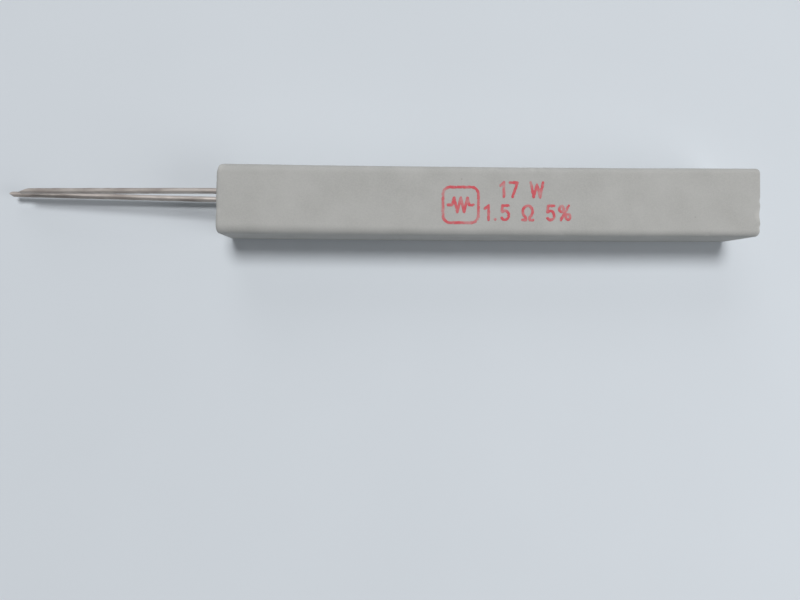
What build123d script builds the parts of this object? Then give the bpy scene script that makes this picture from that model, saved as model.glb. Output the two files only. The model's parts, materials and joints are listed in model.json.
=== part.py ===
from build123d import *
import math
import os

# Ceramic-cased wirewound power resistor with both leads at one end. Millimetres.
# Frame: the origin is the centre of the case's underside, +X runs towards the closed end,
# the leads leave towards -X, and +Z points up out of the face that carries the marking.

# Case: one fired ceramic cup of square section, open at the lead end.
case_length = 75.0
case_width = 9.5
case_height = 9.5
case_wall = 1.2
case_end_wall = 1.6
long_edge_radius = 0.7  # outer edges along the length
end_edge_radius = 0.45  # outer edges round the two ends
cavity_corner_radius = 0.5
cavity_floor_radius = 0.25  # where the cavity's walls meet its closed end
mouth_edge_radius = 0.2  # inner edge of the open rim
rim_skew = 0.24  # how much longer the front wall is than the back one, because the rim fired askew

# Cement poured round the element.
cement_recess = 0.55  # from the middle of the rim down to the cement

# Element: a glass-fibre rod, wound with resistance wire, with a drawn cap pressed on each end.
# It is as thick as fits between the case's upper wall and the lead that passes under it.
element_top_clearance = 0.15  # caps to the cavity's upper wall
element_side_clearance = 0.1  # caps to the cavity's side walls, at least
element_lead_clearance = 0.72  # caps to the lead that passes under them, in height
element_axis_y = 0.0
wire_diameter = 0.5
winding_resistance = 1.5  # ohm between the two cap mouths
wire_resistivity = 0.49  # ohm mm2 per m, copper-nickel
winding_gap = 0.02  # radial, wire to core and wire to cap
cap_wall = 0.3
cap_skirt_length = 4.0
cap_edge_radius = 0.25
wire_end_margin = 1.0  # from the inside of a cap's end to the first turn under its skirt

# Leads: tinned wire, butt-welded to the middle of each cap.
lead_diameter = 0.8
near_stub_length = 6.0  # from the cement's face in to the near cap
far_stub_length = 1.0  # straight wire between the far cap and the hairpin bend
far_bend_clearance = 0.6  # hairpin bend to the cavity's end wall
hairpin_flat = 0.04  # straight wire left between the hairpin's two quarter bends
upper_free_length = 29.0  # out of the rim to the cut end, along the case
lower_free_length = 31.4
upper_exit_y = 1.3  # how far each lead lies from the case's middle where it leaves the cement
lower_exit_y = 0.9
upper_exit_clearance = 1.1  # upper lead to the cavity's upper wall
lower_exit_clearance = 0.15  # lower lead to the cavity's lower wall
upper_tip_y = 1.58  # and where it ends
lower_tip_y = 1.43
tip_spacing = 1.9  # between the leads' middles at the cut ends, in height
straight_exit = 2.0  # out of the rim before a lead leans towards its tip
crank_lead_in = 1.2  # straight wire between the near cap and the crank
crank_length = 2.6
crank_radius = 1.5
lean_radius = 4.0
upper_tip_half_angle = 22  # degrees, of the chisel point left by side cutters
lower_tip_half_angle = 40
tip_land = 0.1  # width of the point's blunt edge
upper_tip_ridge = -0.25  # how far the blunt edge lies from the wire's middle, along Y
lower_tip_ridge = 0.05

# Worked out from the sizes above.
rim_x = -case_length / 2
end_x = case_length / 2
cavity_width = case_width - 2 * case_wall
cavity_height = case_height - 2 * case_wall
cavity_end_x = end_x - case_end_wall
cement_face_x = rim_x + cement_recess
cavity_top_z = case_height - case_wall
lead_radius = lead_diameter / 2
lower_exit_z = case_wall + lower_exit_clearance + lead_radius
upper_exit_z = cavity_top_z - upper_exit_clearance - lead_radius
upper_exit = (upper_exit_y, upper_exit_z)
lower_exit = (lower_exit_y, lower_exit_z)
upper_tip = (rim_x - upper_free_length, upper_tip_y, lower_exit_z + tip_spacing)
lower_tip = (rim_x - lower_free_length, lower_tip_y, lower_exit_z)
element_top_z = cavity_top_z - element_top_clearance
element_bottom_z = lower_exit_z + lead_radius + element_lead_clearance
cap_outer_radius = min(
    (element_top_z - element_bottom_z) / 2, cavity_width / 2 - element_side_clearance
)
cap_inner_radius = cap_outer_radius - cap_wall
winding_outer_radius = cap_inner_radius - winding_gap
winding_radius = winding_outer_radius - wire_diameter / 2  # to the wire's centre line
core_radius = winding_radius - wire_diameter / 2 - winding_gap
element_axis_z = element_top_z - cap_outer_radius
hairpin_span = math.hypot(element_axis_y - lower_exit[0], element_axis_z - lower_exit[1])
hairpin_radius = (hairpin_span - hairpin_flat) / 2
hairpin_x = cavity_end_x - far_bend_clearance - lead_radius
far_cap_x = hairpin_x - hairpin_span / 2 - far_stub_length
near_cap_x = cement_face_x + near_stub_length


def rod(radius, x_start, x_end):
    """A solid rod on the element's axis, between two stations along the case."""
    plane = Plane(origin=(x_start, element_axis_y, element_axis_z), z_dir=(1, 0, 0))
    return extrude(plane * Circle(radius), x_end - x_start)


def cavity():
    """The space inside the case, run out past its rim."""
    run_out = 1.0 + rim_skew
    length = cavity_end_x - rim_x + run_out
    block = Pos(cavity_end_x, 0, case_height / 2) * Box(
        length, cavity_width, cavity_height, align=(Align.MAX, Align.CENTER, Align.CENTER)
    )
    rounded = fillet(block.edges().filter_by(Axis.X), cavity_corner_radius)
    return fillet(rounded.faces().sort_by(Axis.X)[-1].edges(), cavity_floor_radius)


def make_case():
    """One ceramic cup: a square bar with rounded edges, hollow from its slightly skewed rim."""
    outline = Polyline(
        (rim_x - rim_skew / 2, -case_width / 2),
        (end_x, -case_width / 2),
        (end_x, case_width / 2),
        (rim_x + rim_skew / 2, case_width / 2),
        close=True,
    )
    block = extrude(make_face(outline), case_height)
    bar = fillet(block.edges().filter_by(Axis.X), long_edge_radius)
    for end in (0, -1):
        bar = fillet(bar.faces().sort_by(Axis.X)[end].edges(), end_edge_radius)
    cup = bar - cavity()
    rim = cup.faces().sort_by(Axis.X)[0]
    return fillet(rim.inner_wires()[0].edges(), mouth_edge_radius)


def make_core():
    """The glass-fibre rod that the wire is wound on, from cap to cap."""
    return rod(core_radius, near_cap_x + cap_wall, far_cap_x - cap_wall)


def winding_pitch():
    """Spacing of the turns that gives the stated resistance between the cap mouths."""
    wire_area = math.pi * wire_diameter**2 / 4
    active_wire = winding_resistance * wire_area / wire_resistivity * 1000
    active_length = far_cap_x - near_cap_x - 2 * cap_skirt_length
    turn_length = 2 * math.pi * winding_radius
    turns = math.sqrt(active_wire**2 - active_length**2) / turn_length
    return active_length / turns


def make_winding():
    """Resistance wire in one open helix, with its end turns running under both cap skirts."""
    x_start = near_cap_x + cap_wall + wire_end_margin
    x_end = far_cap_x - cap_wall - wire_end_margin
    axis = Location(Plane(origin=(x_start, element_axis_y, element_axis_z), z_dir=(1, 0, 0)))
    path = axis * Helix(winding_pitch(), x_end - x_start, winding_radius)
    section = Plane(origin=path @ 0, z_dir=path % 0) * Circle(wire_diameter / 2)
    return sweep(section, path=path, is_frenet=True)


def make_cap(x_face, inward):
    """A drawn metal cap: its end plate is at x_face, and its skirt runs inward (+1 or -1) along X."""
    outside = Plane(origin=(x_face, element_axis_y, element_axis_z), z_dir=(inward, 0, 0))
    inside = outside.offset(cap_wall)
    cup = extrude(outside * Circle(cap_outer_radius), cap_skirt_length)
    plate = cup.faces().sort_by(Axis.X)[0 if inward > 0 else -1]
    cup = fillet(plate.edges(), cap_edge_radius)
    return cup - extrude(inside * Circle(cap_inner_radius), cap_skirt_length)


def lean_points(exit_yz, tip):
    """The stretch of a lead outside the case: straight out of the rim, then leaning to its tip."""
    return [(rim_x - straight_exit, *exit_yz), tip]


def lead(points, radii, tip_ridge, half_angle):
    """Round wire along straight runs joined by tangent arcs, with a chisel point at its last point."""
    path = FilletPolyline(*points, radius=radii)
    wire = sweep(Plane(origin=path @ 0, z_dir=path % 0) * Circle(lead_radius), path=path)
    return wire - chisel_waste(path @ 1, path % 1, tip_ridge, half_angle)


def chisel_waste(tip, direction, tip_ridge, half_angle):
    """The two wedges that side cutters take off a wire's end, one each side of the ridge they leave."""
    flank = Plane(origin=tip, x_dir=(0, 1, 0), z_dir=Vector(0, 1, 0).cross(direction))
    reach = 2 * lead_diameter  # past the wire's surface, whichever side the ridge is on
    run = reach / math.tan(math.radians(half_angle))
    waste = []
    for side in (-1, 1):
        edge = tip_ridge + side * tip_land / 2
        profile = Polyline(
            (edge, 0),
            (edge + side * reach, -run),
            (edge + side * reach, reach),
            (edge, reach),
            close=True,
        )
        waste.append(extrude(flank * make_face(profile), lead_diameter, both=True))
    return waste


def make_upper_lead():
    """From the near cap, cranked up to its exit and out."""
    crank_start = near_cap_x - crank_lead_in
    points = [
        (near_cap_x, element_axis_y, element_axis_z),
        (crank_start, element_axis_y, element_axis_z),
        (crank_start - crank_length, *upper_exit),
        *lean_points(upper_exit, upper_tip),
    ]
    radii = [crank_radius, crank_radius, lean_radius]
    return lead(points, radii, upper_tip_ridge, upper_tip_half_angle)


def make_lower_lead():
    """From the far cap, round a hairpin bend and back beside the element to the lead end."""
    points = [
        (far_cap_x, element_axis_y, element_axis_z),
        (hairpin_x, element_axis_y, element_axis_z),
        (hairpin_x, *lower_exit),
        *lean_points(lower_exit, lower_tip),
    ]
    radii = [hairpin_radius, hairpin_radius, lean_radius]
    return lead(points, radii, lower_tip_ridge, lower_tip_half_angle)


def make_cement(leads):
    """The cast filling: the cavity up to the recessed face, less the element and its leads."""
    beyond_face = Pos(cement_face_x, 0, 0) * Box(
        case_length, 2 * case_width, 4 * case_height, align=(Align.MAX, Align.CENTER, Align.CENTER)
    )
    fill = cavity() - beyond_face
    for cap_x, inward in ((near_cap_x, 1), (far_cap_x, -1)):
        pocket = rod(cap_outer_radius, *sorted((cap_x, cap_x + inward * cap_skirt_length)))
        plate = pocket.faces().sort_by(Axis.X)[0 if inward > 0 else -1]
        fill -= fillet(plate.edges(), cap_edge_radius)
    fill -= rod(winding_outer_radius + winding_gap, near_cap_x + cap_wall, far_cap_x - cap_wall)
    for wire in leads:
        fill -= wire
    return fill


upper_lead = make_upper_lead()
lower_lead = make_lower_lead()
nodes = {
    "ceramic_case": make_case(),
    "cement_fill": make_cement([upper_lead, lower_lead]),
    "winding_core": make_core(),
    "resistance_winding": make_winding(),
    "near_end_cap": make_cap(near_cap_x, 1),
    "far_end_cap": make_cap(far_cap_x, -1),
    "upper_lead": upper_lead,
    "lower_lead": lower_lead,
}

os.makedirs("parts", exist_ok=True)
for name, shape in nodes.items():
    export_step(shape, f"parts/{name}.step")
    print(f"{name:20s} {len(shape.solids())} solid  {shape.volume:9.3f} mm3")
print(f"turn spacing {winding_pitch():.3f} mm, element axis at z {element_axis_z:.2f} mm")
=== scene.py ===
# %% [markdown]
# # A ceramic-cased power resistor, lying on a bench
#
# The real part is resistance wire wound on a rod, slid into a square cup of fired ceramic and
# sealed in with cement. Its two tinned leads leave the cup's open end.
#
# The construction is already settled in a CAD model, which is loaded here as a fixed frame.
# Blender's job is the finish: the fired skin, the sandy cement, the dull tin and the stamped ink.
# Places and overall sizes are read from that frame, so no piece has to be fitted by eye.

import json
import math
import random

import bmesh
import bpy
import numpy as np
from mathutils import Matrix, Vector, noise


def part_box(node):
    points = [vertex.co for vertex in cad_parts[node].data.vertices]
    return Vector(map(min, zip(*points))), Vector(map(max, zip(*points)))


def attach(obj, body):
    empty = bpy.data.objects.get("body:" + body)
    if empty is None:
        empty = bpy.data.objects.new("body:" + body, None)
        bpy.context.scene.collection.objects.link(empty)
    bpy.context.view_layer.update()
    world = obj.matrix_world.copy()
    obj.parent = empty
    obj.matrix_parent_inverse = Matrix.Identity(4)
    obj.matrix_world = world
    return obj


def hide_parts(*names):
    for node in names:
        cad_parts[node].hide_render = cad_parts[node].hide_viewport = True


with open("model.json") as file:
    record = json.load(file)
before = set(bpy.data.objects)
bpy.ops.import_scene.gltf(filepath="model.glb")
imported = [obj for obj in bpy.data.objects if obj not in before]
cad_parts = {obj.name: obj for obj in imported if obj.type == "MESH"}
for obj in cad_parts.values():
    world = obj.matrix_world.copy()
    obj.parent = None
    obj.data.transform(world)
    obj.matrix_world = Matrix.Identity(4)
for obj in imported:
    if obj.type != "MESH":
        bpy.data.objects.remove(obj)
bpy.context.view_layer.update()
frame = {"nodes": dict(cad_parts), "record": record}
MM = 0.001
SEED = 11  # of every random draw and every noise, so that each run makes the same part
noise.seed_set(SEED)

print("the frame holds", ", ".join(sorted(frame["nodes"])))

# %% [markdown]
# ## Helpers for materials
#
# Shader nodes can be wired by hand in the node editor, or in code. Code stays readable when one
# function adds a node together with its settings and links, so there is exactly one such function.
# Colours are written as sRGB hex values, because that is what a colour picker shows, but shaders
# work in linear light, so a second function turns one into the other. A third turns the real size
# of a pattern, in millimetres, into the scale that a texture node wants.

# %% Nodes, colours and scales
FACTOR, COLOUR_A, COLOUR_B, COLOUR_OUT = 0, 6, 7, 2  # the sockets of a Mix node set to colour


def add_node(tree, kind, settings=None, values=None, links=None):
    """Adds a node: settings are its properties, values its sockets' numbers, links their sources."""
    node = tree.nodes.new(kind)
    for name, value in (settings or {}).items():
        setattr(node, name, value)
    for socket, value in (values or {}).items():
        node.inputs[socket].default_value = value
    for socket, source in (links or {}).items():
        tree.links.new(source, node.inputs[socket])
    return node


def linear(hex_colour):
    """An sRGB hex colour as linear red, green, blue and alpha."""
    channels = [int(hex_colour[i : i + 2], 16) / 255 for i in (1, 3, 5)]
    return [c / 12.92 if c <= 0.04045 else ((c + 0.055) / 1.055) ** 2.4 for c in channels] + [1.0]


def scale_of(size_mm):
    """The texture scale at which one feature of a pattern is this many millimetres wide."""
    return 1 / (size_mm * MM)


def new_material(name):
    """A new material, with its node tree, its shader and the object's own coordinates."""
    material = bpy.data.materials.new(name)
    material.use_nodes = True
    tree = material.node_tree
    shader = tree.nodes["Principled BSDF"]
    place = add_node(tree, "ShaderNodeTexCoord").outputs["Object"]
    return material, tree, shader, place


print("a feature 0.5 mm wide needs a texture scale of", round(scale_of(0.5)))

# %% [markdown]
# ## The ceramic case, as an ideal shape
#
# The case is a cup of square section. It could be a cube with a bevel and a boolean cut, but then
# its faces would have no points in them to bend, chip or undulate. Instead it is lofted like a
# turned part on a square lathe: one walk from the middle of the closed end, round the outside,
# over the rim and down into the cavity. Each stop of the walk is a ring, a rounded square with the
# same number of points, and neighbouring rings are joined by small quads all over. The long edges
# are rounder at the open end than at the closed one, so a ring's corner depends on where it is.

# %% Rings of a rounded square
case_low, case_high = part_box("ceramic_case")
cement_low, cement_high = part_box("cement_fill")
half_length = case_high.x  # the origin is the middle of the case
half_width = case_high.y
middle_z = (case_low.z + case_high.z) / 2
cavity_half = cement_high.y
rim_x = -half_length
cement_x = cement_low.x
CORNER_STEPS = 8
FLAT_STEPS = 36
RING_POINTS = 4 * (CORNER_STEPS + FLAT_STEPS)


def square_ring(x, half_size, radius):
    """Points round a rounded square at a station along the case: one quarter, turned four times."""
    angles = np.linspace(0, math.pi / 2, CORNER_STEPS + 1)
    flat_end = half_size - radius
    corner = flat_end + radius * np.column_stack([np.cos(angles), np.sin(angles)])
    flat = np.linspace((flat_end, half_size), (-flat_end, half_size), FLAT_STEPS + 1)[1:-1]
    quarter = np.vstack([corner, flat])
    quarter_turn = np.array([[0, 1], [-1, 0]])
    ring = np.vstack([quarter @ np.linalg.matrix_power(quarter_turn, k) for k in range(4)])
    return np.column_stack([np.full(len(ring), x), ring[:, 0], ring[:, 1] + middle_z])


print("each ring has", RING_POINTS, "points")

# %% The walk round the case's wall
FAR_EDGE = 0.8 * MM  # radius of the long edges at the closed end
RIM_EDGE = 1.25 * MM  # and at the rim
END_EDGE = 0.45 * MM
MOUTH_EDGE = 0.2 * MM
CAVITY_CORNER = 0.5 * MM
RING_SPACING = 0.22 * MM
FACE_RINGS = 18  # from the middle of an end out to its edge
FIRST_RING = 0.03  # size of the innermost of them, as a share of the face
MOUTH_DEPTHS = (0.35, 0.5, 0.65, 0.8, 1.0, 1.5, 3.0)  # mm inside the rim, closest where they show
EDGE_ANGLES = np.linspace(0, math.pi / 2, 7)


def long_edge(x):
    """The radius of the four long edges at a station along the case."""
    share = (half_length - x) / (2 * half_length)
    return FAR_EDGE + share * (RIM_EDGE - FAR_EDGE)


def outer_edge(end, inward):
    """Stops round one end's outer edge, from the face to the side: inward is +1 or -1 along X."""
    stops = []
    for angle in EDGE_ANGLES:
        shrink = END_EDGE * (1 - math.sin(angle))
        x = end + inward * END_EDGE * (1 - math.cos(angle))
        stops.append((x, half_width - shrink, long_edge(x) - shrink))
    return stops


def case_walk():
    """Every ring of the cup as (x, half size, corner radius), from closed end to cavity floor."""
    face_half = half_width - END_EDGE
    far_corner, rim_corner = long_edge(half_length) - END_EDGE, long_edge(rim_x) - END_EDGE
    shares = np.linspace(FIRST_RING, 1, FACE_RINGS)[:-1]
    walk = [(half_length, s * face_half, s * far_corner) for s in shares]
    walk += outer_edge(half_length, -1)
    run = half_length - END_EDGE
    stations = np.linspace(run, -run, round(2 * run / RING_SPACING) + 1)[1:-1]
    walk += [(x, half_width, long_edge(x)) for x in stations]
    walk += outer_edge(rim_x, 1)[::-1]
    mouth_half, mouth_corner = cavity_half + MOUTH_EDGE, CAVITY_CORNER + MOUTH_EDGE
    for s in (0.25, 0.5, 0.75):
        half = face_half + s * (mouth_half - face_half)
        walk.append((rim_x, half, rim_corner + s * (mouth_corner - rim_corner)))
    for angle in EDGE_ANGLES:
        grow = MOUTH_EDGE * (1 - math.sin(angle))
        x = rim_x + MOUTH_EDGE * (1 - math.cos(angle))
        walk.append((x, cavity_half + grow, CAVITY_CORNER + grow))
    for depth in MOUTH_DEPTHS:
        walk.append((rim_x + depth * MM, cavity_half, CAVITY_CORNER))
    walk.append((cement_high.x, cavity_half, CAVITY_CORNER))
    walk.append((cement_high.x, cavity_half / 2, CAVITY_CORNER / 2))
    return walk


case_rings = [square_ring(*stop) for stop in case_walk()]
print("the case's walk has", len(case_rings), "rings")

# %% [markdown]
# ## What firing and handling do to it
#
# No fired part is a true block. This one is bowed by about a tenth of a millimetre over its length,
# its rim is a little askew, its faces undulate, and its edges carry the nicks of a drawer full of
# other parts. All of that is one function that moves points, so the case, the cement in its mouth
# and the ink on its face can share it and still fit each other.

# %% Bow, skew and undulation
BOW = 0.14 * MM  # sideways, at the middle of the length
END_SKEW = 0.05 * MM
WAVES = ((0.03 * MM, 9 * MM), (0.01 * MM, 1.4 * MM))  # the depth and size of each undulation
rim_skew = rim_x - case_low.x


def warp(points):
    """Where firing leaves points of the ideal case."""
    moved = np.array(points, dtype=float)
    along = moved[:, 0] / half_length
    across = moved[:, 1] / half_width
    moved[:, 0] += across * (rim_skew * np.clip(-along, 0, 1) - END_SKEW * np.clip(along, 0, 1))
    moved[:, 1] -= BOW * (1 - along**2)
    for depth, size in WAVES:
        shifts = np.array([noise.noise_vector(Vector(p) / size) for p in points])
        moved[:, 1:] += depth * shifts[:, 1:]
    moved[:, 2] = np.maximum(moved[:, 2], case_low.z)
    return moved


print("the rim is askew by", round(rim_skew / MM, 2), "mm to each side")

# %% Nicks along the edges
dice = random.Random(SEED)
NICK_COUNT = 40
NICK_RADII = (0.4, 0.8)  # mm
NICK_DEPTHS = (0.1, 0.28)  # as shares of the radius
NICK_SPREAD = 0.9  # how far towards an edge's ends they go, as a share of its half length
LONG_EDGE_ODDS = 5  # nicks along the case for every two round its ends
DENT_SHAPE = 0.7  # below one, so a nick has a broad bottom
PALE_DEPTH = 0.2 * MM  # from here on only fresh ceramic shows
heart = Vector((0, 0, middle_z))
half_block = Vector((half_length, half_width, half_width))


def edge_nick():
    """One random nick as (place, radius, depth), on an edge along the case or round one end."""
    radius = dice.uniform(*NICK_RADII) * MM
    depth = radius * dice.uniform(*NICK_DEPTHS)
    side, level = dice.choice((-1, 1)), dice.choice((-1, 1))
    slide = dice.uniform(-NICK_SPREAD, NICK_SPREAD)
    along_case, round_end = (slide, side, level), ((side, slide, level), (side, level, slide))
    share = dice.choice((along_case,) * LONG_EDGE_ODDS + round_end)
    place = heart + Vector([s * h for s, h in zip(share, half_block)])
    return place, radius, depth


def own_nick(x_side, y_mm, radius_mm, depth_mm):
    """A nick that this very part has, on the top edge of one end."""
    return Vector((x_side * half_length, y_mm * MM, case_high.z)), radius_mm * MM, depth_mm * MM


nicks = [edge_nick() for _ in range(NICK_COUNT)] + [
    own_nick(-1, 4.7, 1.3, 0.22),  # the worn corner at the rim
    own_nick(1, -1.8, 1.1, 0.14),  # a notch in the closed end
    own_nick(1, -4.7, 0.8, 0.12),
]


def wear(points):
    """Presses every nick into the points, and returns them with how deep each one was pressed."""
    worn, pressed = points.copy(), np.zeros(len(points))
    reach = half_length - half_width
    inward = np.array(heart) - points
    inward[:, 0] += np.clip(points[:, 0], -reach, reach)
    inward /= np.linalg.norm(inward, axis=1)[:, None]
    for place, radius, depth in nicks:
        nearness = 1 - np.linalg.norm(points - np.array(place), axis=1) / radius
        push = depth * np.clip(nearness, 0, 1) ** DENT_SHAPE
        worn += inward * push[:, None]
        pressed = np.maximum(pressed, push / PALE_DEPTH)
    return worn, pressed


print(len(nicks), "nicks in the edges")

# %% [markdown]
# ## From rings to a mesh
#
# Rings that all have the same number of points can be joined by one loop, whatever they are the
# rings of. The case, the cement and the leads all use it. A fan of triangles closes each end.

# %% Loft rings into an object
def loft(name, rings):
    """One closed skin over a list of rings, as a new object with smooth shading."""
    count = len(rings[0])
    points = [tuple(p) for ring in rings for p in ring]
    faces = []
    for k in range(len(rings) - 1):
        for i in range(count):
            j = (i + 1) % count
            faces.append((k * count + i, k * count + j, (k + 1) * count + j, (k + 1) * count + i))
    for start in (0, (len(rings) - 1) * count):
        centre = len(points)
        points.append(tuple(np.mean(points[start : start + count], axis=0)))
        faces += [(start + i, start + (i + 1) % count, centre) for i in range(count)]
    mesh = bpy.data.meshes.new(name)
    mesh.from_pydata(points, [], faces)
    return finished_object(name, mesh)


def finished_object(name, mesh):
    """Faces a mesh's skin outward, smooths it and puts it in the scene, riding on the part."""
    shape = bmesh.new()
    shape.from_mesh(mesh)
    bmesh.ops.recalc_face_normals(shape, faces=shape.faces)
    for face in shape.faces:
        face.smooth = True
    shape.to_mesh(mesh)
    shape.free()
    made = bpy.data.objects.new(name, mesh)
    bpy.context.scene.collection.objects.link(made)
    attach(made, "root")
    print(name, "has", len(mesh.polygons), "faces")
    return made


def store(piece, name, values):
    """Keeps one number for each point of a mesh, for its material to read."""
    attribute = piece.data.attributes.new(name, "FLOAT", "POINT")
    attribute.data.foreach_set("value", np.asarray(values, dtype=np.float32))


print("one loft serves the case, the cement and the leads")

# %% Build the case
ideal = np.vstack(case_rings)
worn, pressed = wear(ideal)
fired = warp(worn)
case = loft("fired_ceramic_case", np.split(fired, len(case_rings)))
store(case, "nicked", np.append(np.clip(pressed, 0, 1), [0, 0]))  # and the two fans' middles
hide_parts("ceramic_case")

# %% [markdown]
# ## Unglazed steatite
#
# The case is steatite, a soapstone ceramic, dry-pressed from powder and fired without a glaze. It
# is matt, because its grains scatter light every way, and it is never one even grey: the mix and
# the kiln leave soft clouds a few millimetres wide, the pressed grains are just visible, and a few
# iron specks burn in as dark dots. Where an edge is nicked, the fresh ceramic inside is paler.
# The grains are really about 0.05 mm wide. Here they are drawn at 0.16 mm, which is as coarse as
# they need to be to show.

# %% Material: unglazed steatite
def unglazed_steatite():
    """Matt, cloudy, grainy grey, with dark specks and pale nicks."""
    material, tree, shader, place = new_material("steatite, dry-pressed and fired, unglazed")
    shader.inputs["IOR"].default_value = 1.55
    clouds = add_node(
        tree, "ShaderNodeTexNoise",
        values={"Scale": scale_of(5), "Detail": 3.0}, links={"Vector": place},
    )
    grain = add_node(
        tree, "ShaderNodeTexNoise",
        values={"Scale": scale_of(0.16), "Detail": 4.0}, links={"Vector": place},
    )
    cells = add_node(
        tree, "ShaderNodeTexVoronoi", values={"Scale": scale_of(3.4)}, links={"Vector": place},
    )
    cloudy = add_node(
        tree, "ShaderNodeMix", {"data_type": "RGBA"},
        {COLOUR_A: linear("#9a9a97"), COLOUR_B: linear("#b2b2b0")}, {FACTOR: clouds.outputs["Fac"]},
    )
    grain_share = add_node(
        tree, "ShaderNodeMapRange",
        values={"From Min": 0.35, "From Max": 0.65, "To Min": 0.0, "To Max": 0.35},
        links={"Value": grain.outputs["Fac"]},
    )
    grainy = add_node(
        tree, "ShaderNodeMix", {"data_type": "RGBA"}, {COLOUR_B: linear("#b9b8b4")},
        {FACTOR: grain_share.outputs["Result"], COLOUR_A: cloudy.outputs[COLOUR_OUT]},
    )
    speck = add_node(
        tree, "ShaderNodeMapRange",
        values={"From Min": 0.015, "From Max": 0.045, "To Min": 0.4, "To Max": 0.0},
        links={"Value": cells.outputs["Distance"]},
    )
    specked = add_node(
        tree, "ShaderNodeMix", {"data_type": "RGBA"}, {COLOUR_B: linear("#6f6a62")},
        {FACTOR: speck.outputs["Result"], COLOUR_A: grainy.outputs[COLOUR_OUT]},
    )
    nicked = add_node(tree, "ShaderNodeAttribute", {"attribute_name": "nicked"})
    skin = add_node(
        tree, "ShaderNodeMix", {"data_type": "RGBA"}, {COLOUR_B: linear("#bdbcb8")},
        {FACTOR: nicked.outputs["Fac"], COLOUR_A: specked.outputs[COLOUR_OUT]},
    )
    tree.links.new(skin.outputs[COLOUR_OUT], shader.inputs["Base Color"])
    rough = add_node(
        tree, "ShaderNodeMapRange",
        values={"To Min": 0.78, "To Max": 0.95}, links={"Value": grain.outputs["Fac"]},
    )
    tree.links.new(rough.outputs["Result"], shader.inputs["Roughness"])
    lumps = add_node(
        tree, "ShaderNodeTexNoise",
        values={"Scale": scale_of(0.9), "Detail": 5.0}, links={"Vector": place},
    )
    coarse = add_node(
        tree, "ShaderNodeBump",
        values={"Strength": 0.5, "Distance": 0.03 * MM}, links={"Height": lumps.outputs["Fac"]},
    )
    fine = add_node(
        tree, "ShaderNodeBump", values={"Strength": 0.6, "Distance": 0.012 * MM},
        links={"Height": grain.outputs["Fac"], "Normal": coarse.outputs["Normal"]},
    )
    tree.links.new(fine.outputs["Normal"], shader.inputs["Normal"])
    return material


case.data.materials.append(unglazed_steatite())
print("the case is", case.data.materials[0].name)

# %% [markdown]
# ## The leads' routes
#
# Each lead is one piece of wire. It is welded to an end cap inside, runs to the open end and leaves
# through the cement. The frame's record gives each lead's straight free length as a mount, a point
# and a direction, and the caps' boxes say where the wires start. The corners between the straight
# runs are rounded, because wire is bent round a pin and never folded.

# %% Routes from the caps to the cut ends
near_low, near_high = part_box("near_end_cap")
far_low, far_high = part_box("far_end_cap")
axis_z = (near_low.z + near_high.z) / 2
mounts = {mount["name"]: mount for mount in frame["record"]["mounts"]}
STRAIGHT_EXIT = 2 * MM
PATH_STEP = 0.12 * MM


def free_length(lead):
    """Where a lead starts to lean, outside the rim, and where it is cut off."""
    mount = mounts[lead + "_pin"]
    point, direction = Vector(mount["pos_m"]), Vector(mount["axis"])
    ends = (rim_x - STRAIGHT_EXIT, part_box(lead)[0].x)
    return [point + direction * ((x - point.x) / direction.x) for x in ends]


def rounded_path(corners, radii):
    """Points along straight runs joined by arcs, one radius for each corner between the runs."""
    points = [corners[0]]
    for before, corner, after, radius in zip(corners, corners[1:], corners[2:], radii):
        back, on = (before - corner).normalized(), (after - corner).normalized()
        half_angle = back.angle(on) / 2
        start = corner + back * (radius / math.tan(half_angle))
        centre = corner + (back + on).normalized() * (radius / math.sin(half_angle))
        turn = math.pi - 2 * half_angle
        steps = max(2, round(radius * turn / PATH_STEP))
        for k in range(steps + 1):
            angle = turn * k / steps
            outward = (start - centre) * math.cos(angle)
            back_along = back * (radius * math.sin(angle))
            points.append(centre + outward - back_along)
    points.append(corners[-1])
    return evenly(points)


def evenly(points):
    """The same line, with a point at least every step along it."""
    line = [points[0]]
    for a, b in zip(points, points[1:]):
        steps = max(1, round((b - a).length / PATH_STEP))
        line += [a.lerp(b, k / steps) for k in range(1, steps + 1)]
    return line


upper_bend, upper_tip = free_length("upper_lead")
lower_bend, lower_tip = free_length("lower_lead")
for tip in (upper_tip, lower_tip):
    print("a free end, in mm:", [round(v / MM, 2) for v in tip])

# %% [markdown]
# ## Sweeping the wire
#
# Blender's curves can carry a round bevel, which is the quick way to make wire. But a tinned lead
# is not a perfect tube: the tin froze a little thicker here and there, and the side cutters left a
# chisel point. So the rings are swept in code, each with its own slight lumps, and the point is cut
# by two planes.

# %% Tinned wire with a cut end
WIRE_POINTS = 28
TIN_LUMP = 0.018 * MM
TIN_LUMP_SIZE = 1.1 * MM
WANDER = 0.03 * MM  # how far fingers bent the free length off a straight line
WANDER_SIZE = 13 * MM
TIP_LAND = 0.1 * MM  # width of the point's blunt edge
TIP_RUN = 8  # steps of the path over which the cut end's direction is measured
wire_radius = mounts["upper_lead_pin"]["dims"]["r_mm"] * MM


def wander(point):
    """A gentle bend of the free length, which dies out at the cement."""
    freedom = min(1, max(0, (rim_x - point.x) / (6 * MM)))
    return noise.noise_vector(point / WANDER_SIZE) * WANDER * freedom


def sweep_wire(name, path):
    """A lumpy round wire along a path."""
    side, rings = Vector((0, 1, 0)), []
    for k, point in enumerate(path):
        direction = (path[min(k + 1, len(path) - 1)] - path[max(k - 1, 0)]).normalized()
        side = (side - direction * side.dot(direction)).normalized()
        up = direction.cross(side)
        ring = []
        for i in range(WIRE_POINTS):
            angle = 2 * math.pi * i / WIRE_POINTS
            spoke = side * math.cos(angle) + up * math.sin(angle)
            lump = noise.noise((point + spoke * wire_radius) / TIN_LUMP_SIZE) * TIN_LUMP
            ring.append(point + wander(point) + spoke * (wire_radius + lump))
        rings.append(np.array(ring))
    return loft(name, rings)


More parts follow.
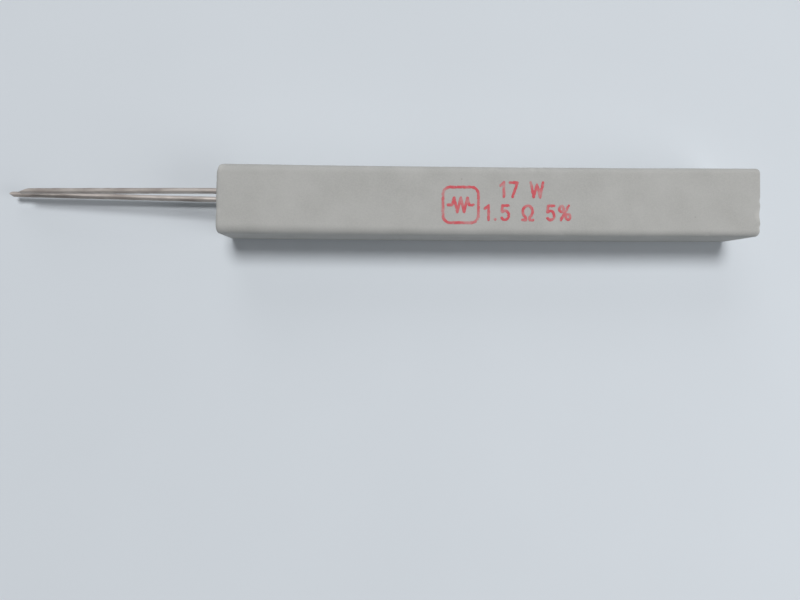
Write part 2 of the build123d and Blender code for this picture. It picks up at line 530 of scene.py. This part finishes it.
def cut_tip(wire, tip, direction, ridge, half_angle):
    """Cuts a chisel point with two planes. ridge is how far it lies from the wire's middle."""
    shape = bmesh.new()
    shape.from_mesh(wire.data)
    across = Vector((0, 1, 0))
    for side in (-1, 1):
        edge = tip + wander(tip) + across * (ridge + side * TIP_LAND / 2)
        slope = across * (side * math.cos(half_angle)) + direction * math.sin(half_angle)
        everything = shape.verts[:] + shape.edges[:] + shape.faces[:]
        cut = bmesh.ops.bisect_plane(
            shape, geom=everything, plane_co=edge, plane_no=slope, clear_outer=True
        )
        rim = [item for item in cut["geom_cut"] if isinstance(item, bmesh.types.BMEdge)]
        flat = bmesh.ops.holes_fill(shape, edges=rim)["faces"]
        for face in flat:
            face.smooth = False
        for edge_line in rim:
            edge_line.smooth = False
    bmesh.ops.recalc_face_normals(shape, faces=shape.faces)
    shape.to_mesh(wire.data)
    shape.free()
    print(wire.name, "cut to a point,", len(wire.data.polygons), "faces")


# %% Build both leads
NEAR_STUB = 1.2 * MM  # straight out of the near cap before the crank
CRANK = 2.6 * MM
CRANK_RADIUS = 1.5 * MM
LEAN_RADIUS = 4 * MM
HAIRPIN_SHARE = 0.494  # just under half, so a little straight wire is left between its two bends
hairpin_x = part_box("lower_lead")[1].x - wire_radius

near_weld = Vector((near_low.x, 0, axis_z))
crank_start = near_weld - Vector((NEAR_STUB, 0, 0))
crank_end = Vector((crank_start.x - CRANK, upper_bend.y, upper_bend.z))
upper_path = rounded_path(
    [near_weld, crank_start, crank_end, upper_bend, upper_tip],
    [CRANK_RADIUS, CRANK_RADIUS, LEAN_RADIUS],
)
far_weld = Vector((far_high.x, 0, axis_z))
hairpin_top = Vector((hairpin_x, 0, axis_z))
hairpin_foot = Vector((hairpin_x, lower_bend.y, lower_bend.z))
hairpin_radius = (hairpin_top - hairpin_foot).length * HAIRPIN_SHARE
lower_path = rounded_path(
    [far_weld, hairpin_top, hairpin_foot, lower_bend, lower_tip],
    [hairpin_radius, hairpin_radius, LEAN_RADIUS],
)
cuts = {
    "upper_lead": (upper_path, -0.25 * MM, math.radians(22)),
    "lower_lead": (lower_path, 0.05 * MM, math.radians(40)),
}
leads = {}
for name, (path, ridge, half_angle) in cuts.items():
    wire = sweep_wire("tinned_" + name, path)
    end_direction = (path[-1] - path[-1 - TIP_RUN]).normalized()
    cut_tip(wire, path[-1], end_direction, ridge, half_angle)
    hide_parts(name)
    leads[name] = wire

# %% [markdown]
# ## Hot-tinned copper, dulled with age
#
# The leads are copper wire pulled through molten tin. Fresh tin is bright, but years in a drawer
# give it a thin oxide, so it looks soft and warm grey, with duller patches where it was handled.
# Drawing leaves faint lines along the wire, a few hundredths of a millimetre apart, which are drawn
# here at 0.12 mm so that they show. A metal's colour is in its reflection, so the base colour is
# tin's own grey. Metallic stays at 0.6, because the oxide film scatters part of the light before
# the metal can reflect it, and the patches change the roughness too.

# %% Material: hot-tinned copper wire
def tinned_copper():
    """Soft warm-grey metal with dull patches and faint drawing lines."""
    material, tree, shader, place = new_material("copper wire, hot-tinned and dulled")
    shader.inputs["Metallic"].default_value = 0.6
    stretch = add_node(
        tree, "ShaderNodeMapping", values={"Scale": (0.06, 1.0, 1.0)}, links={"Vector": place},
    )
    smear = add_node(
        tree, "ShaderNodeMapping", values={"Scale": (0.3, 1.0, 1.0)}, links={"Vector": place},
    )
    patches = add_node(
        tree, "ShaderNodeTexNoise", values={"Scale": scale_of(1.2), "Detail": 4.0},
        links={"Vector": smear.outputs["Vector"]},
    )
    lines = add_node(
        tree, "ShaderNodeTexNoise", values={"Scale": scale_of(0.12), "Detail": 2.0},
        links={"Vector": stretch.outputs["Vector"]},
    )
    dull = add_node(
        tree, "ShaderNodeMapRange", values={"From Min": 0.4, "From Max": 0.62},
        links={"Value": patches.outputs["Fac"]},
    )
    colour = add_node(
        tree, "ShaderNodeMix", {"data_type": "RGBA"},
        {COLOUR_A: linear("#bdb6b1"), COLOUR_B: linear("#a19994")}, {FACTOR: dull.outputs["Result"]},
    )
    tree.links.new(colour.outputs[COLOUR_OUT], shader.inputs["Base Color"])
    rough = add_node(
        tree, "ShaderNodeMapRange",
        values={"To Min": 0.55, "To Max": 0.68}, links={"Value": dull.outputs["Result"]},
    )
    tree.links.new(rough.outputs["Result"], shader.inputs["Roughness"])
    drawn = add_node(
        tree, "ShaderNodeBump",
        values={"Strength": 0.35, "Distance": 0.01 * MM}, links={"Height": lines.outputs["Fac"]},
    )
    tree.links.new(drawn.outputs["Normal"], shader.inputs["Normal"])
    return material


tin = tinned_copper()
for wire in leads.values():
    wire.data.materials.append(tin)
print(len(leads), "leads are", tin.name)

# %% [markdown]
# ## The cement
#
# Cement is poured into the open end round the leads and baked. It wets the walls and the wires, so
# it climbs them in a small meniscus, it sinks in the middle as it dries, and it holds sand grains
# and burst bubbles. The casting is lofted from the same square rings as the case, closely spaced
# over the face that shows, and its face is then pushed in and out by those three effects.

# %% Build the cement casting
CEMENT_FACE_RINGS = 44
MENISCUS = 0.3 * MM
MENISCUS_REACH = 0.45 * MM
COLLAR = 0.35 * MM
SINK = 0.12 * MM
GRIT_DEPTH = 0.05 * MM
GRIT_SIZE = 0.35 * MM
GRIT_ROUGHNESS, GRIT_STEP, GRIT_OCTAVES = 0.7, 2.0, 4  # of the fractal noise
BUBBLE_COUNT = 16
BUBBLE_RADII = (0.1, 0.28)  # mm
BUBBLE_SPREAD = 0.9  # how far out from the middle, as a share of the cavity's half width
exits = [(bend.y, bend.z) for bend in (upper_bend, lower_bend)]


def burst_bubble():
    """One random bubble in the cement's face, as (y, z, radius)."""
    y = dice.uniform(-BUBBLE_SPREAD, BUBBLE_SPREAD) * cavity_half
    z = middle_z + dice.uniform(-BUBBLE_SPREAD, BUBBLE_SPREAD) * cavity_half
    return y, z, dice.uniform(*BUBBLE_RADII) * MM


bubbles = [burst_bubble() for _ in range(BUBBLE_COUNT)]


def cement_height(y, z):
    """How far the cement's face stands out of its mean level, towards the mouth, at a point."""
    to_wall = cavity_half - max(abs(y), abs(z - middle_z))
    height = MENISCUS * math.exp(-to_wall / MENISCUS_REACH) - SINK * (to_wall / cavity_half)
    for exit_y, exit_z in exits:
        to_wire = max(0, math.hypot(y - exit_y, z - exit_z) - wire_radius)
        height += COLLAR * math.exp(-to_wire / MENISCUS_REACH)
    spot = Vector((y, z, 0)) / GRIT_SIZE
    height += GRIT_DEPTH * noise.fractal(spot, GRIT_ROUGHNESS, GRIT_STEP, GRIT_OCTAVES)
    for bubble_y, bubble_z, radius in bubbles:
        inside = radius**2 - (y - bubble_y) ** 2 - (z - bubble_z) ** 2
        if inside > 0:
            height -= math.sqrt(inside)
    return height


face_rings = []
for share in np.linspace(0.02, 1, CEMENT_FACE_RINGS):
    ring = square_ring(cement_x, share * cavity_half, share * CAVITY_CORNER)
    ring[:, 0] -= [cement_height(y, z) for _, y, z in ring]
    face_rings.append(ring)
side_stations = (cement_x + 1 * MM, cement_x + 3 * MM, cement_high.x)
side_rings = [square_ring(x, cavity_half, CAVITY_CORNER) for x in side_stations]
cement_rings = face_rings + side_rings
cement = loft("cement_casting", np.split(warp(np.vstack(cement_rings)), len(cement_rings)))
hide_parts("cement_fill")

# %% [markdown]
# ## Cement with sand in it
#
# The filler is a silicate cement loaded with quartz sand, so it carries heat. It sets pale, dull
# and gritty, with grains of clear and rusty quartz in a lime-grey paste. Grains are small cells of
# a Voronoi pattern, each with its own shade.

# %% Material: sanded silicate cement
def sanded_cement():
    """Pale gritty paste with differently shaded grains."""
    material, tree, shader, place = new_material("silicate cement, cast with quartz sand")
    shader.inputs["IOR"].default_value = 1.5
    shader.inputs["Roughness"].default_value = 0.93
    grains = add_node(
        tree, "ShaderNodeTexVoronoi", values={"Scale": scale_of(0.22)}, links={"Vector": place},
    )
    shade = add_node(tree, "ShaderNodeSeparateColor", links={"Color": grains.outputs["Color"]})
    paste = add_node(
        tree, "ShaderNodeMix", {"data_type": "RGBA"},
        {COLOUR_A: linear("#9d9990"), COLOUR_B: linear("#c3beb2")}, {FACTOR: shade.outputs["Red"]},
    )
    rust = add_node(
        tree, "ShaderNodeMapRange",
        values={"From Min": 0.9, "From Max": 0.97, "To Max": 0.6}, links={"Value": shade.outputs["Green"]},
    )
    colour = add_node(
        tree, "ShaderNodeMix", {"data_type": "RGBA"}, {COLOUR_B: linear("#7a6450")},
        {FACTOR: rust.outputs["Result"], COLOUR_A: paste.outputs[COLOUR_OUT]},
    )
    tree.links.new(colour.outputs[COLOUR_OUT], shader.inputs["Base Color"])
    relief = add_node(
        tree, "ShaderNodeBump", values={"Strength": 0.5, "Distance": 0.03 * MM},
        links={"Height": grains.outputs["Distance"]},
    )
    tree.links.new(relief.outputs["Normal"], shader.inputs["Normal"])
    return material


cement.data.materials.append(sanded_cement())
print("the filling is", cement.data.materials[0].name)

# %% [markdown]
# ## The stamped marking
#
# Such a case is marked with a rubber stamp in red ink: a small symbol and two lines of plain
# rating. It could be a picture laid on the surface or a text object, but a picture goes soft up
# close and a font has none of a stamp's faults. Here each character is a few pen strokes. The ink
# lies wherever a point is nearer to a stroke than half the stroke's width, and that width is
# roughened by noise, so edges creep, lines swell and starved spots stay bare.

# %% Pen strokes
def arc(centre_x, centre_y, radius_x, radius_y, start, stop, steps=16):
    """Points along part of an ellipse, from one angle to another in degrees."""
    angles = np.radians(np.linspace(start, stop, steps))
    return [(centre_x + radius_x * math.cos(a), centre_y + radius_y * math.sin(a)) for a in angles]


# Every character stands on y = 0 and is 1 tall. Each entry is its width and its strokes.
STROKES = {
    "1": (0.36, [[(0.04, 0.78), (0.28, 1.0), (0.28, 0.0)]]),
    "5": (0.58, [[(0.54, 1.0), (0.12, 1.0), (0.08, 0.56)] + arc(0.29, 0.32, 0.27, 0.32, 130, -145)]),
    "7": (0.56, [[(0.02, 1.0), (0.54, 1.0), (0.2, 0.0)]]),
    "W": (0.86, [[(0.0, 1.0), (0.2, 0.0), (0.43, 0.85), (0.66, 0.0), (0.86, 1.0)]]),
    ".": (0.12, [[(0.06, 0.02), (0.06, 0.03)]]),
    "%": (
        0.8,
        [
            [(0.12, 0.0), (0.66, 1.0)],
            arc(0.16, 0.78, 0.15, 0.2, 0, 360),
            arc(0.62, 0.22, 0.15, 0.2, 0, 360),
        ],
    ),
    "ohm": (
        0.78,
        [
            [(0.02, 0.0), (0.26, 0.0)]
            + arc(0.39, 0.58, 0.34, 0.42, 244, -64, 24)
            + [(0.52, 0.0), (0.76, 0.0)],
        ],
    ),
}
SPACE = 0.6
LETTER_GAP = 0.33


def line_of(characters):
    """The strokes of a line of characters, in units of its height, and its width."""
    strokes, pen = [], 0.0
    for character in characters:
        if character == " ":
            pen += SPACE
            continue
        width, own = STROKES[character]
        strokes += [[(x + pen, y) for x, y in stroke] for stroke in own]
        pen += width + LETTER_GAP
    return strokes, pen - LETTER_GAP


def resistor_symbol():
    """A circuit diagram's zigzag in a plain square frame with soft corners, 1 tall."""
    corner = 0.2
    near, far = corner, 1 - corner
    frame_line = []
    for centre_x, centre_y, start in ((far, far, 0), (near, far, 90), (near, near, 180), (far, near, 270)):
        frame_line += arc(centre_x, centre_y, corner, corner, start, start + 90, 8)
    frame_line.append(frame_line[0])
    zigzag = [(0.14, 0.5), (0.26, 0.5)]
    zigzag += [(0.31 + 0.095 * k, 0.5 + 0.2 * (-1) ** k) for k in range(5)]
    zigzag += [(0.74, 0.5), (0.86, 0.5)]
    return [frame_line, zigzag]


print("there are strokes for", len(STROKES), "characters and a symbol")

# %% [markdown]
# ## From strokes to ink
#
# A grid finer than the pen is laid over each mark. At every grid point one number says how far
# inside the ink it is, and marching squares draws the line where that number is zero. The cells
# share their points, so the ink is one clean sheet, laid on the fired face and thickened a little.

# %% Where the ink lies
PEN = 0.38 * MM
GRID = 0.06 * MM
EDGE_CREEP = 0.3  # how much the stroke's half width varies, as a share of it
CREEP_SIZE = 0.35 * MM
STARVED_SIZE = 0.16 * MM
STARVED_LEVEL = 0.42  # noise above this leaves a bare spot
STARVED_DEPTH = 2.5 * PEN


def distance_to_strokes(points, strokes):
    """The distance from each point to the nearest stroke."""
    nearest = np.full(len(points), np.inf)
    for stroke in strokes:
        for a, b in zip(stroke, stroke[1:]):
            a, run = np.array(a), np.array(b) - np.array(a)
            share = np.clip((points - a) @ run / max(run @ run, 1e-18), 0, 1)
            offset = points - a - share[:, None] * run
            nearest = np.minimum(nearest, np.hypot(offset[:, 0], offset[:, 1]))
    return nearest


def inkiness(points, strokes):
    """How far inside the ink each point is: negative where the face is bare."""
    creep = np.array([noise.noise(Vector((x, y, 0)) / CREEP_SIZE) for x, y in points])
    starved = np.array([noise.noise(Vector((x, y, 1)) / STARVED_SIZE) for x, y in points])
    half_stroke = PEN / 2 * (1 + EDGE_CREEP * creep)
    holes = np.clip(starved - STARVED_LEVEL, 0, 1) * STARVED_DEPTH
    return half_stroke - distance_to_strokes(points, strokes) - holes


print("a stroke is about", round(PEN / GRID), "grid cells wide")

# %% Marching squares
CELL_CORNERS = ((0, 0), (1, 0), (1, 1), (0, 1))


def ink_sheet(strokes):
    """The inked area as flat points and the faces between them."""
    ends = np.vstack([np.array(stroke) for stroke in strokes])
    low, high = ends.min(axis=0) - PEN, ends.max(axis=0) + PEN
    columns, rows = (np.ceil((high - low) / GRID).astype(int) + 1).tolist()
    grid = [(low[0] + i * GRID, low[1] + j * GRID) for i in range(columns) for j in range(rows)]
    field = inkiness(np.array(grid), strokes).reshape(columns, rows)
    points, index_of, faces = [], {}, []

    def shared(key, x, y):
        """The index of a point that several cells may use, made the first time it is asked for."""
        if key not in index_of:
            index_of[key] = len(points)
            points.append((low[0] + x * GRID, low[1] + y * GRID))
        return index_of[key]

    for i in range(columns - 1):
        for j in range(rows - 1):
            corners = [(i + a, j + b) for a, b in CELL_CORNERS]
            face = []
            for here, there in zip(corners, corners[1:] + corners[:1]):
                f, g = field[here], field[there]
                if f > 0:
                    face.append(shared(here, *here))
                if (f > 0) != (g > 0):
                    t = f / (f - g)
                    x, y = (h + t * (k - h) for h, k in zip(here, there))
                    face.append(shared((min(here, there), max(here, there)), x, y))
            if len(face) > 2:
                faces.append(face)
    return points, faces


# %% Print the marks
INK_THICKNESS = 0.014 * MM
INK_LIFT = 0.004 * MM
LETTER_HEIGHT = 1.95 * MM
SYMBOL_SIZE = 4.85 * MM
SYMBOL_CORNER = (-6.85 * MM, -3.05 * MM)  # the left and the bottom of each mark
POWER_CORNER = (0.95 * MM, 0.55 * MM)
VALUE_CORNER = (-1.15 * MM, -2.6 * MM)


def print_mark(name, strokes, size, left, bottom):
    """Stamps strokes on the case's top: size is their unit, left and bottom their corner."""
    placed = [[(left + x * size, bottom + y * size) for x, y in stroke] for stroke in strokes]
    points, faces = ink_sheet(placed)
    mesh = bpy.data.meshes.new(name)
    on_top = warp([(x, y, case_high.z) for x, y in points])
    on_top[:, 2] += INK_LIFT
    mesh.from_pydata([tuple(p) for p in on_top], [], faces)
    mark = finished_object(name, mesh)
    coat = mark.modifiers.new("thickness", "SOLIDIFY")
    coat.thickness = INK_THICKNESS
    coat.offset = 1
    return mark


power_line, power_width = line_of("17 W")
value_line, value_width = line_of(["1", ".", "5", " ", "ohm", " ", "5", "%"])
marks = [
    print_mark("stamped_symbol", resistor_symbol(), SYMBOL_SIZE, *SYMBOL_CORNER),
    print_mark("stamped_power", power_line, LETTER_HEIGHT, *POWER_CORNER),
    print_mark("stamped_value", value_line, LETTER_HEIGHT, *VALUE_CORNER),
]
for width in (power_width, value_width):
    print("a line", round(width * LETTER_HEIGHT / MM, 1), "mm wide")

# %% [markdown]
# ## Stamped ink
#
# Marking ink is red pigment in a thin varnish. Where the stamp pressed well it is strong, and where
# it pressed lightly the ceramic shows through, so the red is mixed with a pinkish grey in patches
# under a millimetre wide. It sinks into a matt face, so it is hardly glossier than the ceramic.

# %% Material: stamped red ink
def stamped_ink():
    """Red that fades in patches, over the ceramic's own grain."""
    material, tree, shader, place = new_material("red pigment ink, rubber-stamped")
    shader.inputs["IOR"].default_value = 1.5
    shader.inputs["Roughness"].default_value = 0.7
    pressure = add_node(
        tree, "ShaderNodeTexNoise", values={"Scale": scale_of(1.3), "Detail": 5.0}, links={"Vector": place},
    )
    grain = add_node(
        tree, "ShaderNodeTexNoise", values={"Scale": scale_of(0.16), "Detail": 4.0}, links={"Vector": place},
    )
    faint = add_node(
        tree, "ShaderNodeMapRange", values={"From Min": 0.42, "From Max": 0.72},
        links={"Value": pressure.outputs["Fac"]},
    )
    red = add_node(
        tree, "ShaderNodeMix", {"data_type": "RGBA"},
        {COLOUR_A: linear("#c34b54"), COLOUR_B: linear("#b58a8a")}, {FACTOR: faint.outputs["Result"]},
    )
    tree.links.new(red.outputs[COLOUR_OUT], shader.inputs["Base Color"])
    relief = add_node(
        tree, "ShaderNodeBump", values={"Strength": 0.5, "Distance": 0.012 * MM},
        links={"Height": grain.outputs["Fac"]},
    )
    tree.links.new(relief.outputs["Normal"], shader.inputs["Normal"])
    return material


ink = stamped_ink()
for mark in marks:
    mark.data.materials.append(ink)
print(len(marks), "marks are", ink.name)

# %% [markdown]
# ## The pieces inside
#
# The rod, the winding and its two end caps are sealed in and never show, but they are part of the
# object and someone may cut it open. Their shapes come straight from the CAD model. They only need
# the right finish: bonded glass fibre, drawn copper-nickel wire and pressed plated steel. Glass
# fibres are about 0.01 mm thick, so they are drawn as bundles of 0.1 mm.

# %% Material: bonded glass fibre
def glass_fibre():
    """Off-white rod with fine lengthwise fibres."""
    material, tree, shader, place = new_material("glass fibre, drawn into a bonded rod")
    shader.inputs["IOR"].default_value = 1.52
    shader.inputs["Roughness"].default_value = 0.55
    stretch = add_node(
        tree, "ShaderNodeMapping", values={"Scale": (0.02, 1.0, 1.0)}, links={"Vector": place},
    )
    fibres = add_node(
        tree, "ShaderNodeTexNoise", values={"Scale": scale_of(0.1), "Detail": 3.0},
        links={"Vector": stretch.outputs["Vector"]},
    )
    colour = add_node(
        tree, "ShaderNodeMix", {"data_type": "RGBA"},
        {COLOUR_A: linear("#b9b39c"), COLOUR_B: linear("#e6e1cf")}, {FACTOR: fibres.outputs["Fac"]},
    )
    tree.links.new(colour.outputs[COLOUR_OUT], shader.inputs["Base Color"])
    relief = add_node(
        tree, "ShaderNodeBump", values={"Strength": 0.5, "Distance": 0.02 * MM},
        links={"Height": fibres.outputs["Fac"]},
    )
    tree.links.new(relief.outputs["Normal"], shader.inputs["Normal"])
    return material


# %% Material: drawn copper-nickel wire
def drawn_resistance_wire():
    """Warm silvery wire, tarnished in places by its own heat."""
    material, tree, shader, place = new_material("copper-nickel wire, drawn and annealed")
    shader.inputs["Metallic"].default_value = 1.0
    tarnish = add_node(
        tree, "ShaderNodeTexNoise", values={"Scale": scale_of(2.5), "Detail": 4.0}, links={"Vector": place},
    )
    colour = add_node(
        tree, "ShaderNodeMix", {"data_type": "RGBA"},
        {COLOUR_A: linear("#c9b39c"), COLOUR_B: linear("#8a7460")}, {FACTOR: tarnish.outputs["Fac"]},
    )
    tree.links.new(colour.outputs[COLOUR_OUT], shader.inputs["Base Color"])
    rough = add_node(
        tree, "ShaderNodeMapRange",
        values={"To Min": 0.25, "To Max": 0.5}, links={"Value": tarnish.outputs["Fac"]},
    )
    tree.links.new(rough.outputs["Result"], shader.inputs["Roughness"])
    return material


# %% Material: pressed plated steel
def nickel_plated_steel():
    """Bright steel caps with the faint orange peel of a deep pressing."""
    material, tree, shader, place = new_material("steel, deep-drawn and nickel-plated")
    shader.inputs["Metallic"].default_value = 1.0
    peel = add_node(
        tree, "ShaderNodeTexNoise", values={"Scale": scale_of(0.3), "Detail": 3.0}, links={"Vector": place},
    )
    colour = add_node(
        tree, "ShaderNodeMix", {"data_type": "RGBA"},
        {COLOUR_A: linear("#c4bfb4"), COLOUR_B: linear("#aaa498")}, {FACTOR: peel.outputs["Fac"]},
    )
    tree.links.new(colour.outputs[COLOUR_OUT], shader.inputs["Base Color"])
    rough = add_node(
        tree, "ShaderNodeMapRange",
        values={"To Min": 0.2, "To Max": 0.4}, links={"Value": peel.outputs["Fac"]},
    )
    tree.links.new(rough.outputs["Result"], shader.inputs["Roughness"])
    relief = add_node(
        tree, "ShaderNodeBump", values={"Strength": 0.3, "Distance": 0.01 * MM},
        links={"Height": peel.outputs["Fac"]},
    )
    tree.links.new(relief.outputs["Normal"], shader.inputs["Normal"])
    return material


# %% Finish the pieces inside
plated = nickel_plated_steel()
finishes = {
    "winding_core": glass_fibre(),
    "resistance_winding": drawn_resistance_wire(),
    "near_end_cap": plated,
    "far_end_cap": plated,
}
for node, material in finishes.items():
    inner = frame["nodes"][node]
    inner.data.materials.clear()
    inner.data.materials.append(material)
print("finished", ", ".join(finishes))

# %% [markdown]
# ## The bench, the light and the camera
#
# The part lies on a plain pale floor. The main light is high behind it and wide, so the shadow is
# short and soft and falls toward the near side. A sun lamp with a wide angle does that evenly,
# however far the floor runs. Two weaker lamps pick out the closed end and the back edges. The sky
# is pale only near the horizon, where a studio's walls would be, so the sides stay in shade. Colours
# leave the render as they were entered, because the view transform is the plain sRGB one.

# %% Floor
FLOOR_SIZE = 20.0


def bench_top():
    """A wide level sheet of pale board just under the part."""
    mesh = bpy.data.meshes.new("bench_top")
    half = FLOOR_SIZE / 2
    corners = [(-half, -half, 0), (half, -half, 0), (half, half, 0), (-half, half, 0)]
    mesh.from_pydata(corners, [], [(0, 1, 2, 3)])
    top = bpy.data.objects.new("bench_top", mesh)
    bpy.context.scene.collection.objects.link(top)
    material, tree, shader, place = new_material("pale board, matt lacquered")
    shader.inputs["Roughness"].default_value = 0.8
    fleck = add_node(
        tree, "ShaderNodeTexNoise", values={"Scale": scale_of(40), "Detail": 3.0}, links={"Vector": place},
    )
    colour = add_node(
        tree, "ShaderNodeMix", {"data_type": "RGBA"},
        {COLOUR_A: linear("#ccd2d8"), COLOUR_B: linear("#d2d8de")}, {FACTOR: fleck.outputs["Fac"]},
    )
    tree.links.new(colour.outputs[COLOUR_OUT], shader.inputs["Base Color"])
    mesh.materials.append(material)
    print("the bench is", FLOOR_SIZE, "m square")


bench_top()

# %% Lights
TOWARDS_KEY = Vector((0, 0.33, 1))  # sets the length and the side of the shadow
TOWARDS_END = Vector((1, -0.35, 0.8))
TOWARDS_BACK = Vector((-0.2, 1, 0.6))
KEY_WIDTH = math.radians(19)  # how wide the key light looks from the part, which softens the shadow


def lamp(name, kind, towards, distance=1.0, **settings):
    """A lamp that shines on the middle of the case from a direction."""
    light = bpy.data.lights.new(name, kind)
    for setting, value in settings.items():
        setattr(light, setting, value)
    made = bpy.data.objects.new(name, light)
    made.location = heart + towards.normalized() * distance
    made.rotation_euler = towards.to_track_quat("Z", "Y").to_euler()
    bpy.context.scene.collection.objects.link(made)
    print(name, "has an energy of", light.energy)


lamp("key_light", "SUN", TOWARDS_KEY, energy=2.14, angle=KEY_WIDTH)
lamp("end_light", "AREA", TOWARDS_END, distance=0.4, shape="DISK", size=0.25, energy=0.42)
lamp("back_light", "AREA", TOWARDS_BACK, distance=0.9, shape="DISK", size=0.5, energy=1.2)

# %% Sky
HORIZON_STRENGTH, OVERHEAD_STRENGTH = 0.52, 0.1
FADE_FROM, FADE_TO = 0.1, 0.35  # heights in the sky, where 1 is overhead
studio = bpy.data.worlds.new("pale studio")
studio.use_nodes = True
sky_tree = studio.node_tree
sky = sky_tree.nodes["Background"]
sky.inputs["Color"].default_value = linear("#eef2f6")
view_line = add_node(sky_tree, "ShaderNodeTexCoord").outputs["Generated"]
sky_height = add_node(sky_tree, "ShaderNodeSeparateXYZ", links={"Vector": view_line})
fading = add_node(
    sky_tree, "ShaderNodeMapRange",
    values={
        "From Min": FADE_FROM, "From Max": FADE_TO,
        "To Min": HORIZON_STRENGTH, "To Max": OVERHEAD_STRENGTH,
    },
    links={"Value": sky_height.outputs["Z"]},
)
sky_tree.links.new(fading.outputs["Result"], sky.inputs["Strength"])
bpy.context.scene.world = studio
bpy.context.scene.view_settings.view_transform = "Standard"
print("the sky fades from", HORIZON_STRENGTH, "to", OVERHEAD_STRENGTH)

# %% [markdown]
# ## The camera
#
# It looks almost straight down from nine centimetres up, a little over the part's near side, which
# is why the top face fills the view with only a thin strip of the near side under it.

# %% Camera
CAMERA_PLACE = Vector((-15.67, -13.06, 91.9)) * MM
PITCH, ROLL, TURN = -0.0082, -0.0364, 0.0024  # radians off looking straight down
lens = bpy.data.cameras.new("camera")
lens.sensor_width = 36
lens.lens = 27.3
lens.clip_start = 1 * MM
camera = bpy.data.objects.new("camera", lens)
camera.location = CAMERA_PLACE
tilt = Matrix.Rotation(PITCH, 3, "X") @ Matrix.Rotation(ROLL, 3, "Y") @ Matrix.Rotation(TURN, 3, "Z")
camera.rotation_euler = tilt.to_euler()
bpy.context.scene.collection.objects.link(camera)
bpy.context.scene.camera = camera
print("the camera is", round(CAMERA_PLACE.z / MM), "mm up, with a lens of", round(lens.lens, 1), "mm")
